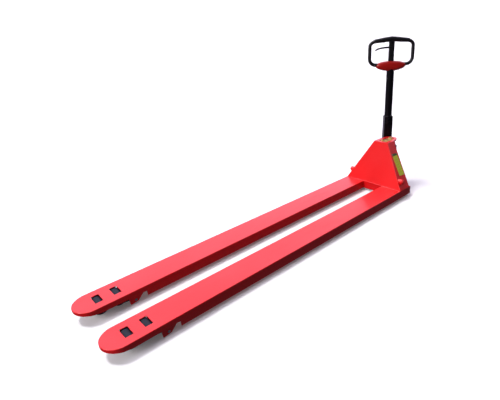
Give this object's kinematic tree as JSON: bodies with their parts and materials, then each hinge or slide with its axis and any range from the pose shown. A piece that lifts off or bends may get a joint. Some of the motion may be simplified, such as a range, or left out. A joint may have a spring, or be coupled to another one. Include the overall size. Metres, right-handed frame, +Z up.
{
  "type": "hand pallet truck",
  "caption": "Manual hydraulic pallet truck with extra-long forks, tandem load rollers, pump head and steering handle with a grip loop",
  "frame": {"origin": "centre of the bounding box on the floor", "axes": "+X towards the fork tips, +Z up, +Y the left fork seen by the operator behind the truck; steering group turned 50 degrees at rest"},
  "size_m": [2.8572, 0.55, 1.2505],
  "materials": {
    "red_paint": "glossy",
    "black_paint": "satin",
    "black_grip": "satin",
    "red_plastic": "semi-gloss",
    "casting": "satin",
    "yellow_zinc": "yellow passivated",
    "bright_steel": "machined",
    "hard_chrome": "polished",
    "label": "printed film, blank",
    "hub": "machined",
    "steer_hub": "painted",
    "roller_tyre": "polyurethane",
    "steer_tyre": "rubber"
  },
  "bodies": {
    "chassis": {"fork_left": "red_paint", "fork_right": "red_paint", "fork_ribs": "red_paint", "pivot_ears": "red_paint", "frame_pins": "bright_steel", "front_plate": "red_paint", "cross_member": "red_paint", "side_plate_left": "red_paint", "side_plate_right": "red_paint", "head_plate": "red_paint", "saddle_plate": "yellow_zinc", "bearing_plates": "red_paint", "shaft_bosses": "red_paint", "label_plate": "label", "ram": "hard_chrome", "ram_nut": "yellow_zinc"},
    "rocker": {"rocker": "black_paint", "cross_shaft": "red_paint"},
    "carrier": {"carrier_ring": "casting"},
    "pump_unit": {"pump_base": "casting", "pump_cylinder": "casting", "reservoir": "casting", "ram_gland": "yellow_zinc", "ring_collar": "bright_steel", "steer_axle": "bright_steel", "axle_clips": "bright_steel", "pivot_pin": "bright_steel", "release_valve": "yellow_zinc"},
    "plunger": {"plunger": "bright_steel"},
    "steer_wheel_left": {"steer_hub_left": "steer_hub", "steer_tyre_left": "steer_tyre"},
    "steer_wheel_right": {"steer_hub_right": "steer_hub", "steer_tyre_right": "steer_tyre"},
    "handle": {"yoke": "black_paint", "press_roller": "bright_steel", "handle_tube": "black_paint", "grip_loop": "black_grip", "centre_post": "black_paint", "guard_insert": "red_plastic", "chain_ring": "bright_steel", "yoke_bolts": "black_paint"},
    "control_lever": {"control_lever": "black_grip"},
    "push_rod_left": {"push_rod_left": "black_paint"},
    "wheel_frame_left": {"wheel_frame_left": "black_paint", "bogie_pin_left": "bright_steel"},
    "bogie_left": {"bogie_left": "black_paint"},
    "front_roller_left": {"front_roller_hub_left": "hub", "front_roller_tyre_left": "roller_tyre"},
    "rear_roller_left": {"rear_roller_hub_left": "hub", "rear_roller_tyre_left": "roller_tyre"},
    "push_rod_right": {"push_rod_right": "black_paint"},
    "wheel_frame_right": {"wheel_frame_right": "black_paint", "bogie_pin_right": "bright_steel"},
    "bogie_right": {"bogie_right": "black_paint"},
    "front_roller_right": {"front_roller_hub_right": "hub", "front_roller_tyre_right": "roller_tyre"},
    "rear_roller_right": {"rear_roller_hub_right": "hub", "rear_roller_tyre_right": "roller_tyre"}
  },
  "joints": [
    {"name": "lift", "type": "slide", "parent": "chassis", "child": "carrier", "axis": [0, 0, -1], "range_m": [0, 0.115]},
    {"name": "steer", "type": "hinge", "parent": "carrier", "child": "pump_unit", "pos_m": [-1.20938, 0, 0.209], "axis": [0, 0, 1], "range_deg": [-140, 40]},
    {"name": "handle_tilt", "type": "hinge", "parent": "pump_unit", "child": "handle", "pos_m": [-1.27623, -0.07967, 0.3], "axis": [0.766, -0.6428, 0], "range_deg": [0, 70], "stiffness_Nm_per_rad": 60, "springref_deg": -14.32},
    {"name": "plunger_stroke", "type": "slide", "parent": "pump_unit", "child": "plunger", "axis": [0, 0, -1], "range_m": [0, 0.0545]},
    {"name": "lever_pull", "type": "hinge", "parent": "handle", "child": "control_lever", "pos_m": [-1.27623, -0.07967, 1.166], "axis": [0.6428, 0.766, 0], "range_deg": [-10, 10], "stiffness_Nm_per_rad": 3},
    {"name": "rocker_swing", "type": "hinge", "parent": "chassis", "child": "rocker", "pos_m": [-1.01738, 0, 0.148], "axis": [0, 1, 0], "range_deg": [-33.5, 0]},
    {"name": "steer_wheel_left_spin", "type": "hinge", "parent": "pump_unit", "child": "steer_wheel_left", "pos_m": [-1.25458, 0.03792, 0.09], "axis": [-0.766, 0.6428, 0], "continuous": true},
    {"name": "push_rod_left_pivot", "type": "hinge", "parent": "rocker", "child": "push_rod_left", "pos_m": [-1.03897, 0.185, 0.0759], "axis": [0, 1, 0], "range_deg": [0, 33.5]},
    {"name": "wheel_frame_left_swing", "type": "hinge", "parent": "chassis", "child": "wheel_frame_left", "pos_m": [1.12862, 0.185, 0.024], "axis": [0, 1, 0], "range_deg": [0, 62.5]},
    {"name": "bogie_left_level", "type": "hinge", "parent": "wheel_frame_left", "child": "bogie_left", "pos_m": [1.24942, 0.185, 0.04], "axis": [0, 1, 0], "range_deg": [-62.5, 0]},
    {"name": "front_roller_left_spin", "type": "hinge", "parent": "bogie_left", "child": "front_roller_left", "pos_m": [1.30002, 0.185, 0.04], "axis": [0, 1, 0], "continuous": true},
    {"name": "rear_roller_left_spin", "type": "hinge", "parent": "bogie_left", "child": "rear_roller_left", "pos_m": [1.19882, 0.185, 0.04], "axis": [0, 1, 0], "continuous": true},
    {"name": "steer_wheel_right_spin", "type": "hinge", "parent": "pump_unit", "child": "steer_wheel_right", "pos_m": [-1.16418, -0.03792, 0.09], "axis": [-0.766, 0.6428, 0], "continuous": true},
    {"name": "push_rod_right_pivot", "type": "hinge", "parent": "rocker", "child": "push_rod_right", "pos_m": [-1.03897, -0.185, 0.0759], "axis": [0, 1, 0], "range_deg": [0, 33.5]},
    {"name": "wheel_frame_right_swing", "type": "hinge", "parent": "chassis", "child": "wheel_frame_right", "pos_m": [1.12862, -0.185, 0.024], "axis": [0, 1, 0], "range_deg": [0, 62.5]},
    {"name": "bogie_right_level", "type": "hinge", "parent": "wheel_frame_right", "child": "bogie_right", "pos_m": [1.24942, -0.185, 0.04], "axis": [0, 1, 0], "range_deg": [-62.5, 0]},
    {"name": "front_roller_right_spin", "type": "hinge", "parent": "bogie_right", "child": "front_roller_right", "pos_m": [1.30002, -0.185, 0.04], "axis": [0, 1, 0], "continuous": true},
    {"name": "rear_roller_right_spin", "type": "hinge", "parent": "bogie_right", "child": "rear_roller_right", "pos_m": [1.19882, -0.185, 0.04], "axis": [0, 1, 0], "continuous": true}
  ],
  "couplings": [
    {"joint": "plunger_stroke", "follows": "handle_tilt", "m_per_rad": 0.0435},
    {"joint": "rocker_swing", "follows": "lift", "rad_per_m": -5.0605},
    {"joint": "push_rod_left_pivot", "follows": "lift", "rad_per_m": 5.0605},
    {"joint": "wheel_frame_left_swing", "follows": "lift", "rad_per_m": 9.3914},
    {"joint": "bogie_left_level", "follows": "lift", "rad_per_m": -9.3914},
    {"joint": "push_rod_right_pivot", "follows": "lift", "rad_per_m": 5.0605},
    {"joint": "wheel_frame_right_swing", "follows": "lift", "rad_per_m": 9.3914},
    {"joint": "bogie_right_level", "follows": "lift", "rad_per_m": -9.3914}
  ]
}
